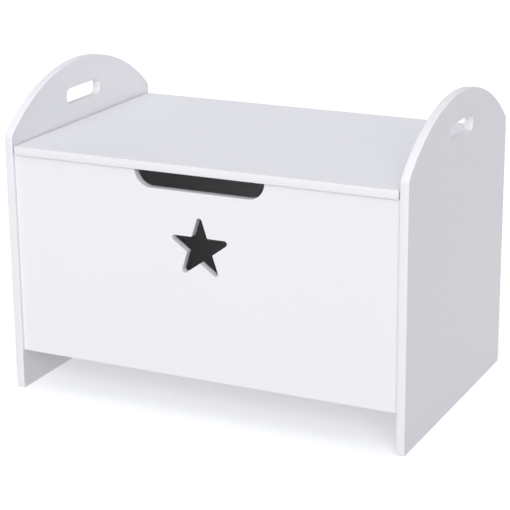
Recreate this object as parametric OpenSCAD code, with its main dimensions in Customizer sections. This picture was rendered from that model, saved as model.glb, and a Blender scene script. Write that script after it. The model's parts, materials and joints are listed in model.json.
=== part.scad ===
// Children's toy box: two arched side panels with a hand hole each, a recessed front panel with a
// finger slot and a star, a back and a bottom panel, and a lid that opens on two butt hinges.
// The panels are joined with cam fittings and dowels, and two quadrant stays hold the lid open.
// Frame: origin on the floor under the middle of the box, +X right, +Y to the back, +Z up.

/* [Box] */
// Overall width across the two side panels
box_w = 600; // [500:1:700]
// Depth of the side panels, front to back
box_d = 388; // [370:1:420]
// Height of the side panels at the top of the arch
side_h = 450; // [430:1:500]
// Rise of the arch above the straight edges of a side panel
arch_rise = 76; // [60:1:90]
// Radius that softens the corner between the arch and a straight edge
arch_corner_r = 9; // [4:1:20]
// Thickness of every panel
board_t = 12; // [12:0.5:14]
// Height of the front and back panels' lower edge above the floor
wall_bottom = 57; // [40:1:80]
// How far the front and back panels stand back from the side panels' edges
wall_recess = 5; // [5:0.5:8]
// Height of the bottom panel's underside above the walls' lower edge
bottom_lift = 3; // [0:0.5:10]

/* [Lid] */
// Height of the lid's top face
lid_top = 360; // [350:1:370]
// Gap between the lid and each side panel
lid_side_gap = 2; // [1.5:0.5:4]
// Gap between the lid's underside and the back panel's upper edge, which holds the hinges
lid_seat_gap = 2; // [2:0.1:2.4]
// Gap between the lid's underside and the front panel's upper edge
front_gap = 0.6; // [0.5:0.1:1]
// Angle to which the lid opens
lid_open_angle = 75; // [50:1:75]

/* [Cut-outs] */
// Length of the hand hole in a side panel
handle_l = 92; // [80:1:110]
// Height of the hand hole
handle_h = 23.5; // [20:0.5:30]
// Corner radius of the hand hole
handle_r = 9; // [4:0.5:9.5]
// Height of the hand hole's middle above the floor
handle_z = 399.3; // [392:0.1:404]
// Length of the finger slot along the front panel's upper edge
slot_l = 194; // [120:1:240]
// Depth of the finger slot
slot_depth = 24.4; // [15:0.2:25]
// Radius of the finger slot's lower corners
slot_r = 24; // [24:0.5:30]
// Height of the star's middle above the floor
star_z = 245; // [200:1:260]
// Distance from the star's middle to its points, before they are rounded
star_outer = 52; // [45:1:60]
// Distance from the star's middle to its inner corners
star_inner = 20; // [17:0.5:24]
// Radius of the star's rounded points
star_tip_r = 4; // [2:0.5:5]

/* [Hinges] */
// Distance from the middle of the box to the middle of a hinge
hinge_x = 180; // [120:1:200]
// Length of a hinge
hinge_l = 50; // [40:5:70]
// Radius of a hinge's knuckles
knuckle_r = 2.4; // [2.2:0.1:2.4]
// Radius of a hinge pin
pin_r = 1.5; // [1.3:0.1:1.6]
// Running clearance between a pin and the lid leaf's knuckles
pin_clearance = 0.05; // [0.02:0.01:0.1]

/* [Stays] */
// Radius from the hinge axis to the middle of a stay arm
stay_r = 206; // [200:1:210]
// Width of a stay arm
stay_w = 12; // [11:0.5:13]
// Thickness of the stay arms, guide plates and brackets
stay_t = 2; // [1.5:0.1:2]
// Radius of the guide stud that runs in a stay arm's slot
stud_r = 3; // [2.5:0.1:3.1]

/* [Hidden] */
$fn = 96;

white_board = [0.94, 0.94, 0.95];
zinc = [0.72, 0.73, 0.75];
beech = [0.85, 0.70, 0.50];
black_plastic = [0.12, 0.12, 0.13];
pale_plastic = [0.88, 0.88, 0.86];

eps = 0.01;         // overlap that makes a cut pass cleanly through a face
corner_steps = 12;  // straight steps round a drawn corner
band_steps = 48;    // straight steps along a stay's arc
seat = 0.05;        // slack all round a fitting in its drilled hole
run_gap = 0.3;      // air between pieces that move past each other

half_w = box_w / 2;
half_d = box_d / 2;
inner_x = half_w - board_t;                 // inner face of the right side panel
wall_outer_y = half_d - wall_recess;        // outer face of the back panel; the front's is its negative
wall_inner_y = wall_outer_y - board_t;
wall_mid_y = wall_outer_y - board_t / 2;
lid_bottom = lid_top - board_t;
wall_top = lid_bottom - lid_seat_gap;       // upper edge of the back panel
front_top = lid_bottom - front_gap;         // upper edge of the front panel
floor_z = wall_bottom + bottom_lift;        // underside of the bottom panel
floor_mid_z = floor_z + board_t / 2;

arch_r = (half_d * half_d + arch_rise * arch_rise) / (2 * arch_rise);
arch_z = side_h - arch_r;                   // height of the arch's centre
corner_y = half_d - arch_corner_r;
corner_z = arch_z + sqrt(pow(arch_r - arch_corner_r, 2) - corner_y * corner_y);
corner_angle = atan2(corner_z - arch_z, corner_y);

// Hinge axis: level with the middle of the gap under the lid, just behind the back panel
axis_y = wall_outer_y + knuckle_r + 0.1;
axis_z = wall_top + lid_seat_gap / 2;
leaf_t = (lid_seat_gap - run_gap) / 2;
leaf_edge_y = wall_outer_y - 0.2;           // where a leaf narrows to its own knuckles
leaf_front_y = wall_inner_y + 1;
knuckle_count = 5;
knuckle_l = hinge_l / knuckle_count;
hinge_screw_x = hinge_l / 2 - 8;
pin_head_r = 2;
pin_head_t = 0.6;

// Angles on the stay's arc are measured at the hinge axis, downwards from straight forward
rivet_angle = 3.2;
stud_angle = 7.8;
slot_spare_angle = 0.5;                     // slot left over past the stud at each end of travel
slot_start_angle = stud_angle - slot_spare_angle;
slot_end_angle = stud_angle + lid_open_angle + slot_spare_angle;
stay_slot_r = stud_r + run_gap;
guide_x = inner_x - stay_t;                 // face of the guide plate
washer_t = 2.7;
arm_outer_x = guide_x - washer_t - run_gap;
arm_inner_x = arm_outer_x - stay_t;
nut_t = 4.5;
nut_r = 6;
guide_w = 16;
guide_half_l = 20;
guide_screw_z = 13;                         // guide screws above and below the stud
rivet_r = 2;
rivet_head_r = 3.6;
rivet_head_t = 1.2;
bracket_leg_r = 8;                          // half the width of a lid bracket, and its rounded end
bracket_reach = 30;                         // length of the bracket's leg along the lid
bracket_screw_x = [10, 22];                 // from the bracket's bend

// Countersunk wood screw
screw_head_r = 2.6;
screw_shank_r = 1.5;
screw_l = 9;
screw_tip_l = 2.5;
recess_w = 0.6;
recess_depth = 0.5;

// Cam fitting: a bolt screwed into a side panel, and a cam lock in the adjoining panel
cam_r = 6;
cam_t = 8.8;
cam_pocket_depth = 9.2;
cam_offset = 24;                            // cam centre from the adjoining panel's end
bolt_thread_r = 2.5;
bolt_thread_l = 8;
bolt_collar_r = 3.4;
bolt_collar_l = 2;
bolt_neck_r = 1.9;
bolt_head_r = 3;
bolt_head_l = 4;
cam_throat_r = 3.3;
cam_slot_l = 7;
cam_slot_w = 1.2;
cam_slot_depth = 1.2;

// Dowel, partly in the side panel and partly in the adjoining panel's end
dowel_r = 3;
dowel_l = 24;
dowel_chamfer = 0.7;
dowel_in_side = 8;

wall_cam_z = [wall_bottom + 60, wall_top - 60];
wall_dowel_z = [wall_bottom + 25, wall_top - 25];
floor_cam_y = [-110, 110];
floor_dowel_y = [-140, 140];

bumper_r = 4;
bumper_sink = 1.4;                          // depth of the pocket that a bumper is pressed into
bumper_t = bumper_sink + front_gap - run_gap;
bumper_x = inner_x - 18;

// Points along an arc round a centre, from one angle to another
function arc(centre, r, from, to, steps) = [
    for (k = [0:steps]) let (a = from + (to - from) * k / steps) centre + r * [cos(a), sin(a)]
];

// Point on the stay's arc at a radius and an angle, in the plane across the hinge axis
function arc_point(r, a) = [axis_y - r * cos(a), axis_z - r * sin(a)];

// Where the cam bolts and the dowels stand on a side panel's inner face, as [y, z]
bolt_spots = concat(
    [for (y = [-wall_mid_y, wall_mid_y], z = wall_cam_z) [y, z]],
    [for (y = floor_cam_y) [y, floor_mid_z]]
);
dowel_spots = concat(
    [for (y = [-wall_mid_y, wall_mid_y], z = wall_dowel_z) [y, z]],
    [for (y = floor_dowel_y) [y, floor_mid_z]]
);

// ---- shapes used by several pieces ----

// Rectangular block between two corners
module block(low, high) {
    translate(low) cube(high - low);
}

// Lays a drawing of [y, z] flat against a plane x = from, and thickens it towards +X
module across_x(from, thickness) {
    translate([from, 0, 0]) rotate([90, 0, 90]) linear_extrude(thickness) children();
}

// Round bar along X between two x values
module x_bar(r, from, to, y, z) {
    translate([from, y, z]) rotate([0, 90, 0]) cylinder(r = r, h = to - from);
}

module rounded_rectangle(l, h, r) {
    square([l - 2 * r, h], center = true);
    square([l, h - 2 * r], center = true);
    for (x = [-1, 1], y = [-1, 1]) translate([x * (l / 2 - r), y * (h / 2 - r)]) circle(r);
}

// Band that follows the stay's arc between two angles, with round ends
module arc_band(r, half_width, from, to) {
    axis = [axis_y, axis_z];
    start = 180 + from;
    end = 180 + to;
    polygon(concat(
        arc(axis, r + half_width, start, end, band_steps),
        arc(arc_point(r, to), half_width, end, end + 180, corner_steps),
        arc(axis, r - half_width, end, start, band_steps),
        arc(arc_point(r, from), half_width, start + 180, start + 360, corner_steps)
    ));
}

// Countersunk screw pointing down, its head flush with z = 0; slack widens it into its hole
module screw_body(slack) {
    rotate_extrude() polygon([
        [0, 0], [screw_head_r + slack, 0],
        [screw_shank_r + slack, screw_shank_r - screw_head_r],
        [screw_shank_r + slack, -screw_l + screw_tip_l], [0.2 + slack, -screw_l - slack],
        [0, -screw_l - slack]
    ]);
}

// Cross recess, cut into a screw or a cam from z = 0 down
module cross_recess(l, w, depth) {
    for (turn = [0, 90]) rotate(turn)
        translate([-l / 2, -w / 2, -depth]) cube([l, w, depth + eps]);
}

module screw() {
    difference() {
        screw_body(0);
        cross_recess(2 * screw_head_r - 2, recess_w, recess_depth);
    }
}

module screw_hole() {
    screw_body(seat);
    cylinder(r = screw_head_r + seat, h = 1);
}

// ---- fittings ----

// Puts its children at every hinge screw of the side x = side (-1 left, 1 right)
module at_hinge_screws(side, z) {
    for (x = [-hinge_screw_x, hinge_screw_x])
        translate([side * hinge_x + x, wall_mid_y, z]) children();
}

// Screws that pass down into the back panel, with their heads flush in the back leaf
module at_back_screws(side) {
    at_hinge_screws(side, wall_top + leaf_t) children();
}

// Screws that pass up into the lid, with their heads flush in the lid leaf
module at_lid_screws(side) {
    at_hinge_screws(side, lid_bottom - leaf_t) mirror([0, 0, 1]) children();
}

// Screws through the right lid bracket's flat leg, up into the lid
module at_bracket_screws() {
    for (x = bracket_screw_x)
        translate([arm_inner_x - x, arc_point(stay_r, rivet_angle)[0], lid_bottom - stay_t])
            mirror([0, 0, 1]) children();
}

// Screws through the right guide plate, into the side panel
module at_guide_screws() {
    stud = arc_point(stay_r, stud_angle);
    for (z = [-guide_screw_z, guide_screw_z])
        translate([guide_x, stud[0], stud[1] + z]) rotate([0, -90, 0]) children();
}

// Drilling in the right side panel's inner face
module side_holes() {
    for (p = bolt_spots)
        x_bar(bolt_thread_r + seat, inner_x - eps, inner_x + bolt_thread_l + 0.5, p[0], p[1]);
    for (p = dowel_spots)
        x_bar(dowel_r + seat, inner_x - eps, inner_x + dowel_in_side + 0.5, p[0], p[1]);
    at_guide_screws() screw_hole();
}

// Drilling in both ends of a panel: bolt and dowel holes into the ends at [y, z]
module end_holes(bolts, dowels) {
    for (side = [0, 1]) mirror([side, 0, 0]) {
        for (p = bolts) x_bar(bolt_collar_r + seat, inner_x - cam_offset, inner_x + eps, p[0], p[1]);
        for (p = dowels)
            x_bar(dowel_r + seat, inner_x - dowel_l + dowel_in_side - 0.5, inner_x + eps, p[0], p[1]);
    }
}

// Puts its children at a wall's cam locks, facing -Y from the back panel's inner face
module at_back_cams() {
    for (side = [0, 1], z = wall_cam_z) mirror([side, 0, 0])
        translate([inner_x - cam_offset, wall_inner_y, z]) rotate([90, 0, 0]) children();
}

// Puts its children at the bottom panel's cam locks, facing down from its underside
module at_floor_cams() {
    for (side = [0, 1], y = floor_cam_y) mirror([side, 0, 0])
        translate([inner_x - cam_offset, y, floor_z]) rotate([180, 0, 0]) children();
}

// Pocket for a cam lock, below z = 0
module cam_pocket() {
    translate([0, 0, -cam_pocket_depth]) cylinder(r = cam_r + seat, h = cam_pocket_depth + eps);
}

// Puts its children in the floor of each bumper's pocket, in the front panel's upper edge
module at_bumpers() {
    for (x = [-bumper_x, bumper_x])
        translate([x, -wall_mid_y, front_top - bumper_sink]) children();
}

// Cam lock with its face at z = 0, open towards +X and below where the bolt's head goes in
module cam_lock() {
    difference() {
        translate([0, 0, -cam_t]) cylinder(r = cam_r, h = cam_t);
        translate([-bolt_head_l / 2 - 0.5, 0, -board_t / 2]) rotate([0, 90, 0])
            cylinder(r = cam_throat_r, h = 2 * cam_r);
        cross_recess(cam_slot_l, cam_slot_w, cam_slot_depth);
    }
}

// Cam bolt at [y, z], screwed into the right side panel
module cam_bolt(y, z) {
    cam_x = inner_x - cam_offset;
    x_bar(bolt_thread_r, inner_x - eps, inner_x + bolt_thread_l, y, z);
    x_bar(bolt_collar_r, inner_x - bolt_collar_l, inner_x, y, z);
    x_bar(bolt_neck_r, cam_x, inner_x - bolt_collar_l + eps, y, z);
    x_bar(bolt_head_r, cam_x - bolt_head_l / 2, cam_x + bolt_head_l / 2, y, z);
}

// Dowel at [y, z], across the joint between a panel's end and the right side panel
module dowel(y, z) {
    end_r = dowel_r - dowel_chamfer;
    translate([inner_x - dowel_l + dowel_in_side, y, z]) rotate([0, 90, 0]) rotate_extrude() polygon([
        [0, 0], [end_r, 0], [dowel_r, dowel_chamfer],
        [dowel_r, dowel_l - dowel_chamfer], [end_r, dowel_l], [0, dowel_l]
    ]);
}

// The dowels at both ends of one panel
module panel_dowels(spots) {
    color(beech) for (side = [0, 1], p = spots) mirror([side, 0, 0]) dowel(p[0], p[1]);
}

// ---- panels ----

module side_outline() {
    difference() {
        intersection() {
            translate([-half_d, 0]) square([box_d, side_h]);
            translate([0, arch_z]) circle(arch_r);
        }
        for (side = [0, 1]) mirror([side, 0]) translate([corner_y, corner_z]) difference() {
            polygon([[0, 0], [2 * arch_corner_r, 0],
                2 * arch_corner_r * [cos(corner_angle), sin(corner_angle)]]);
            circle(arch_corner_r);
        }
        translate([0, handle_z]) rounded_rectangle(handle_l, handle_h, handle_r);
    }
}

module right_side_panel() {
    color(white_board) difference() {
        across_x(inner_x, board_t) side_outline();
        side_holes();
    }
}

module left_side_panel() {
    mirror([1, 0, 0]) right_side_panel();
}

// Five-pointed star, one point up: rounded points, sharp inner corners, straight sides between them
module star_outline() {
    half_tip = atan(star_inner * sin(36) / (star_outer - star_inner * cos(36)));
    tip_centre = star_outer - star_tip_r / sin(half_tip);
    half_turn = 90 - half_tip;
    polygon([for (k = [0:4]) let (aim = 90 + 72 * k) each concat(
        arc(tip_centre * [cos(aim), sin(aim)], star_tip_r, aim - half_turn, aim + half_turn, corner_steps),
        [star_inner * [cos(aim + 36), sin(aim + 36)]]
    )]);
}

// Finger slot in the upper edge: straight bottom, round lower corners
module finger_slot_outline() {
    corner_x = slot_l / 2 - slot_r;
    corner_mid_z = front_top - slot_depth + slot_r;
    open_z = front_top + slot_r;
    polygon(concat(
        [[-slot_l / 2, open_z], [slot_l / 2, open_z]],
        arc([corner_x, corner_mid_z], slot_r, 0, -90, corner_steps),
        arc([-corner_x, corner_mid_z], slot_r, -90, -180, corner_steps)
    ));
}

// The back panel's board, or the front's mirror image, up to the height of its upper edge
module wall_block(top) {
    block([-inner_x, wall_inner_y, wall_bottom], [inner_x, wall_outer_y, top]);
}

// Drilling of the back panel; the front panel's is its mirror image
module wall_holes() {
    end_holes([for (z = wall_cam_z) [wall_mid_y, z]], [for (z = wall_dowel_z) [wall_mid_y, z]]);
    at_back_cams() cam_pocket();
}

module front_panel() {
    color(white_board) difference() {
        mirror([0, 1, 0]) difference() {
            wall_block(front_top);
            wall_holes();
        }
        at_bumpers() cylinder(r = bumper_r + seat, h = bumper_sink + eps);
        translate([0, -wall_inner_y + eps, 0]) rotate([90, 0, 0]) linear_extrude(board_t + 2 * eps) {
            finger_slot_outline();
            translate([0, star_z]) star_outline();
        }
    }
}

module back_panel() {
    color(white_board) difference() {
        wall_block(wall_top);
        wall_holes();
        for (side = [-1, 1]) at_back_screws(side) screw_hole();
    }
}

module bottom_panel() {
    color(white_board) difference() {
        block([-inner_x, -wall_inner_y, floor_z], [inner_x, wall_inner_y, floor_z + board_t]);
        end_holes([for (y = floor_cam_y) [y, floor_mid_z]], [for (y = floor_dowel_y) [y, floor_mid_z]]);
        at_floor_cams() cam_pocket();
    }
}

module lid() {
    lid_x = inner_x - lid_side_gap;
    color(white_board) difference() {
        block([-lid_x, -half_d, lid_bottom], [lid_x, wall_outer_y, lid_top]);
        for (side = [-1, 1]) at_lid_screws(side) screw_hole();
        for (side = [0, 1]) mirror([side, 0, 0]) at_bracket_screws() screw_hole();
    }
}

// ---- hinges ----

// Plate of a leaf with its own knuckles, before drilling: z is its underside, first its first knuckle
module leaf_blank(side, z, first) {
    left_x = side * hinge_x - hinge_l / 2;
    block([left_x, leaf_front_y, z], [left_x + hinge_l, leaf_edge_y, z + leaf_t]);
    for (k = [first:2:knuckle_count - 1]) {
        from = left_x + k * knuckle_l + (k > 0 ? run_gap / 2 : 0);
        to = left_x + (k + 1) * knuckle_l - (k < knuckle_count - 1 ? run_gap / 2 : 0);
        block([from, leaf_edge_y - eps, z], [to, axis_y, z + leaf_t]);
        x_bar(knuckle_r, from, to, axis_y, axis_z);
    }
}

module hinge_bore(side, r) {
    x_bar(r, side * hinge_x - hinge_l, side * hinge_x + hinge_l, axis_y, axis_z);
}

module hinge_back_leaf(side) {
    color(zinc) difference() {
        leaf_blank(side, wall_top, 0);
        hinge_bore(side, pin_r);
        at_back_screws(side) screw_hole();
    }
}

module hinge_lid_leaf(side) {
    color(zinc) difference() {
        leaf_blank(side, lid_bottom - leaf_t, 1);
        hinge_bore(side, pin_r + pin_clearance);
        at_lid_screws(side) screw_hole();
    }
}

module hinge_pin(side) {
    left_x = side * hinge_x - hinge_l / 2;
    right_x = left_x + hinge_l;
    color(zinc) {
        x_bar(pin_r, left_x - eps, right_x + eps, axis_y, axis_z);
        x_bar(pin_head_r, left_x - pin_head_t, left_x, axis_y, axis_z);
        x_bar(pin_head_r, right_x, right_x + pin_head_t, axis_y, axis_z);
    }
}

module left_hinge_back_leaf() hinge_back_leaf(-1);
module right_hinge_back_leaf() hinge_back_leaf(1);
module left_hinge_lid_leaf() hinge_lid_leaf(-1);
module right_hinge_lid_leaf() hinge_lid_leaf(1);
module left_hinge_pin() hinge_pin(-1);
module right_hinge_pin() hinge_pin(1);

module hinge_back_screws() {
    color(zinc) for (side = [-1, 1]) at_back_screws(side) screw();
}

module hinge_lid_screws() {
    color(zinc) for (side = [-1, 1]) at_lid_screws(side) screw();
}

// ---- lid stays ----

// Curved slotted arm, centred on the hinge axis, so that it swings with the lid past its fixed stud
module right_stay_arm() {
    color(zinc) across_x(arm_inner_x, stay_t) difference() {
        arc_band(stay_r, stay_w / 2, rivet_angle, slot_end_angle);
        arc_band(stay_r, stay_slot_r, slot_start_angle, slot_end_angle);
        translate(arc_point(stay_r, rivet_angle)) circle(rivet_r + seat);
    }
}

// Angle bracket: one leg screwed under the lid, the other riveted to the arm
module right_stay_lid_bracket() {
    rivet = arc_point(stay_r, rivet_angle);
    color(zinc) difference() {
        union() {
            block([arm_inner_x - bracket_reach, rivet[0] - bracket_leg_r, lid_bottom - stay_t],
                [arm_inner_x, rivet[0] + bracket_leg_r, lid_bottom]);
            across_x(arm_inner_x - stay_t, stay_t) {
                translate(rivet) circle(bracket_leg_r);
                translate([rivet[0] - bracket_leg_r, rivet[1]])
                    square([2 * bracket_leg_r, lid_bottom - rivet[1]]);
            }
        }
        x_bar(rivet_r + seat, arm_inner_x - 2 * stay_t, arm_outer_x, rivet[0], rivet[1]);
        at_bracket_screws() screw_hole();
    }
}

// Plate screwed to the side panel, with the stud that the arm's slot runs on
module right_stay_guide() {
    stud = arc_point(stay_r, stud_angle);
    color(zinc) {
        difference() {
            across_x(guide_x, stay_t) translate(stud) rounded_rectangle(guide_w, 2 * guide_half_l, 4);
            at_guide_screws() screw_hole();
        }
        x_bar(stud_r, arm_inner_x - run_gap - nut_t, guide_x + eps, stud[0], stud[1]);
    }
}

// Ring on the stud between two x values
module stud_ring(r, from, to) {
    stud = arc_point(stay_r, stud_angle);
    difference() {
        x_bar(r, from, to, stud[0], stud[1]);
        x_bar(stud_r + seat, from - eps, to + eps, stud[0], stud[1]);
    }
}

// Friction washer between the guide plate and the arm
module right_stay_washer() {
    color(pale_plastic) stud_ring(nut_r, guide_x - washer_t, guide_x);
}

// Friction nut on the stud's inner end
module right_stay_nut() {
    color(black_plastic) stud_ring(nut_r, arm_inner_x - run_gap - nut_t, arm_inner_x - run_gap);
}

module left_stay_arm() mirror([1, 0, 0]) right_stay_arm();
module left_stay_lid_bracket() mirror([1, 0, 0]) right_stay_lid_bracket();
module left_stay_guide() mirror([1, 0, 0]) right_stay_guide();
module left_stay_washer() mirror([1, 0, 0]) right_stay_washer();
module left_stay_nut() mirror([1, 0, 0]) right_stay_nut();

module stay_rivets() {
    rivet = arc_point(stay_r, rivet_angle);
    back_x = arm_inner_x - stay_t;
    color(zinc) for (side = [0, 1]) mirror([side, 0, 0]) {
        x_bar(rivet_r, back_x - eps, arm_outer_x + eps, rivet[0], rivet[1]);
        x_bar(rivet_head_r, back_x - rivet_head_t, back_x, rivet[0], rivet[1]);
        x_bar(rivet_head_r, arm_outer_x, arm_outer_x + rivet_head_t, rivet[0], rivet[1]);
    }
}

module stay_lid_screws() {
    color(zinc) for (side = [0, 1]) mirror([side, 0, 0]) at_bracket_screws() screw();
}

module stay_guide_screws() {
    color(zinc) for (side = [0, 1]) mirror([side, 0, 0]) at_guide_screws() screw();
}

// ---- panel fittings ----

module back_cam_locks() {
    color(zinc) at_back_cams() cam_lock();
}

module front_cam_locks() {
    mirror([0, 1, 0]) back_cam_locks();
}

module bottom_cam_locks() {
    color(zinc) at_floor_cams() cam_lock();
}

module right_cam_bolts() {
    color(zinc) for (p = bolt_spots) cam_bolt(p[0], p[1]);
}

module left_cam_bolts() {
    mirror([1, 0, 0]) right_cam_bolts();
}

module front_dowels() panel_dowels([for (z = wall_dowel_z) [-wall_mid_y, z]]);
module back_dowels() panel_dowels([for (z = wall_dowel_z) [wall_mid_y, z]]);
module bottom_dowels() panel_dowels([for (y = floor_dowel_y) [y, floor_mid_z]]);

// Soft stops pressed into the front panel's upper edge
module lid_bumpers() {
    color(pale_plastic) at_bumpers() cylinder(r = bumper_r, h = bumper_t);
}

left_side_panel();
right_side_panel();
front_panel();
back_panel();
bottom_panel();
lid();
left_hinge_back_leaf();
right_hinge_back_leaf();
left_hinge_lid_leaf();
right_hinge_lid_leaf();
left_hinge_pin();
right_hinge_pin();
hinge_back_screws();
hinge_lid_screws();
left_stay_arm();
right_stay_arm();
left_stay_lid_bracket();
right_stay_lid_bracket();
left_stay_guide();
right_stay_guide();
left_stay_washer();
right_stay_washer();
left_stay_nut();
right_stay_nut();
stay_rivets();
stay_lid_screws();
stay_guide_screws();
front_cam_locks();
back_cam_locks();
bottom_cam_locks();
left_cam_bolts();
right_cam_bolts();
front_dowels();
back_dowels();
bottom_dowels();
lid_bumpers();
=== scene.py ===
import json
import math

import bpy
import numpy as np
from mathutils import Matrix, Vector
from mathutils.geometry import delaunay_2d_cdt


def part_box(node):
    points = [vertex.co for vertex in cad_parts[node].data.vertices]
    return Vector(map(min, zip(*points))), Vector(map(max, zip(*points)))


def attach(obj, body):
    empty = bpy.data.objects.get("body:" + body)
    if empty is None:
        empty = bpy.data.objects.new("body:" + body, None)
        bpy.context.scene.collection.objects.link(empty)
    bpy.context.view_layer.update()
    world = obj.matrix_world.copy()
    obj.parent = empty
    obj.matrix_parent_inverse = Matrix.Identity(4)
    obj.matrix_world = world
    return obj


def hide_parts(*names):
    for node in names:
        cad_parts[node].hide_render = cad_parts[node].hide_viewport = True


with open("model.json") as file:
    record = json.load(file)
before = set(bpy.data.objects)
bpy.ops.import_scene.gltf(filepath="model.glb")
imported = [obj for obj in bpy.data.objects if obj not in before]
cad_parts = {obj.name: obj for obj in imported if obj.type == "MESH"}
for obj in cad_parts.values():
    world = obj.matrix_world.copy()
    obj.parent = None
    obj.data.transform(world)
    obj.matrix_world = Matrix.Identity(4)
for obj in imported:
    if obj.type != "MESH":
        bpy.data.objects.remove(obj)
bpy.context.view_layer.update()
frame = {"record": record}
mm = 0.001
hinge = frame["record"]["behaviour"]["joints"][0]


# ---- Studio ----
# A white floor, and a faintly blue room with a white wall at the back. One broad soft light stands in
# front, to the right, and a second one hangs above. The camera looks down a little, from the right.

def studio_camera():
    """A long lens on a nearly level tripod: back is the direction from the box to the camera."""
    yaw, pitch, roll = (math.radians(a) for a in (25.94, 17.5, -0.54))
    distance, aim_aside, aim_height = 2.52755, -0.00808, 0.18307
    back = Vector((math.sin(yaw) * math.cos(pitch), -math.cos(yaw) * math.cos(pitch), math.sin(pitch)))
    right = Vector((math.cos(yaw), math.sin(yaw), 0))
    up = back.cross(right)
    tilted_right = right * math.cos(roll) + up * math.sin(roll)
    tilted_up = up * math.cos(roll) - right * math.sin(roll)
    aim = right * aim_aside + Vector((0, 0, aim_height))
    pose = Matrix((tilted_right, tilted_up, back)).transposed().to_4x4()
    pose.translation = aim + back * distance
    camera = bpy.data.objects.new("studio_camera", bpy.data.cameras.new("studio_camera"))
    bpy.context.scene.collection.objects.link(camera)
    camera.matrix_world = pose
    camera.data.sensor_width = 36
    camera.data.lens = 123.41
    camera.data.clip_end = 50
    bpy.context.scene.camera = camera


def soft_light(name, source, strength, spread, colour=(1, 1, 1)):
    """Even light from one side: source points from the box to the light, spread is its width in degrees."""
    light = bpy.data.objects.new(name, bpy.data.lights.new(name, "SUN"))
    light.data.energy = strength
    light.data.color = colour
    light.data.angle = math.radians(spread)
    light.rotation_euler = Vector(source).to_track_quat("Z", "Y").to_euler()
    bpy.context.scene.collection.objects.link(light)


studio_camera()
cool_white = (0.92, 0.943, 1)
soft_light("front_light", (0.35, -1, 0.3), strength=2.58, spread=60)
soft_light("top_light", (-0.05, -0.1, 1), strength=0.8, spread=70, colour=cool_white)


class Nodes:
    """The node tree of a material or a world. An input takes a value or another node's output."""

    def __init__(self, owner, place="Object"):
        owner.use_nodes = True
        self.tree = owner.node_tree
        self.place = place and self.node("TexCoord", place)

    def feed(self, node, inputs):
        for socket, value in inputs.items():
            if isinstance(value, bpy.types.NodeSocket):
                self.tree.links.new(value, node.inputs[socket])
            else:
                node.inputs[socket].default_value = value

    def node(self, kind, output, inputs=(), **settings):
        node = self.tree.nodes.new("ShaderNode" + kind)
        for setting, value in settings.items():
            setattr(node, setting, value)
        self.feed(node, dict(inputs))
        return node.outputs[output]

    def graded(self, source, from_min, from_max, to_min=0, to_max=1):
        """The source with one range mapped onto another."""
        return self.node("MapRange", "Result", {"Value": source, "From Min": from_min, "From Max": from_max,
                                                "To Min": to_min, "To Max": to_max})

    def moved(self, **changes):
        """The place after a shift, a turn or a stretch."""
        return self.node("Mapping", "Vector", {"Vector": self.place, **changes})

    def noise(self, scale, detail=2, place=None):
        return self.node("TexNoise", "Fac", {"Vector": self.place if place is None else place,
                                             "Scale": scale, "Detail": detail})

    def mixed(self, amount, first, second):
        return self.node("Mix", 0, {0: amount, 2: first, 3: second}, data_type="FLOAT")

    def tinted(self, amount, first, second):
        return self.node("Mix", 2, {0: amount, 6: first, 7: second}, data_type="RGBA")

    def relief(self, height, strength, distance):
        return self.node("Bump", "Normal", {"Strength": strength, "Distance": distance, "Height": height})

    def shade(self, inputs):
        self.feed(self.tree.nodes["Principled BSDF"], inputs)


def pale_room(ceiling, ground, wall):
    """A cool room that shades evenly from the ground's strength to the ceiling's, across the horizon. To
    it is added a white wall behind the box, which fades out to both sides and upwards."""
    world = bpy.data.worlds.new("pale_room")
    room = Nodes(world, "Generated")
    upwards = room.node("SeparateXYZ", "Z", {"Vector": room.place})
    backwards = upwards.node.outputs["Y"]
    cool_room = room.tree.nodes["Background"]
    room.feed(cool_room, {"Color": (*cool_white, 1),
                          "Strength": room.graded(upwards, -0.2, 0.2, ground, ceiling)})
    white_wall = room.node("Background", "Background", {
        "Color": (1, 1, 1, 1), "Strength": room.graded(backwards, 0.5, 1, 0, wall)})
    both = room.node("AddShader", "Shader", {0: cool_room.outputs["Background"], 1: white_wall})
    room.feed(room.tree.nodes["World Output"], {"Surface": both})
    return world


bpy.context.scene.world = pale_room(ceiling=0.38, ground=0.345, wall=0.55)
bpy.context.scene.view_settings.view_transform = "Standard"

floor_half = 9
floor_mesh = bpy.data.meshes.new("studio_floor")
floor_corners = [(x * floor_half, y * floor_half, 0) for x, y in ((-1, -1), (1, -1), (1, 1), (-1, 1))]
floor_mesh.from_pydata(floor_corners, [], [(0, 1, 2, 3)])
studio_floor = bpy.data.objects.new("studio_floor", floor_mesh)
bpy.context.scene.collection.objects.link(studio_floor)
floor_white = bpy.data.materials.new("floor_white")
Nodes(floor_white, place=None).shade({
    "Base Color": (0.93, 0.93, 0.93, 1), "Roughness": 0.9, "Specular IOR Level": 0.1,
    "Emission Color": (1, 1, 1, 1), "Emission Strength": 0.3})
floor_mesh.materials.append(floor_white)
studio_floor.visible_diffuse = False


# ---- Side panels ----
# Each is one piece of 12 mm fibreboard, sawn straight on three sides and to an arch on top, with a
# rounded hand hole routed through. The edges are sanded round, and the whole panel is sprayed white.

def unit(v):
    """Each row of v at length one."""
    return v / np.maximum(np.linalg.norm(v, axis=-1, keepdims=True), 1e-12)


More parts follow.
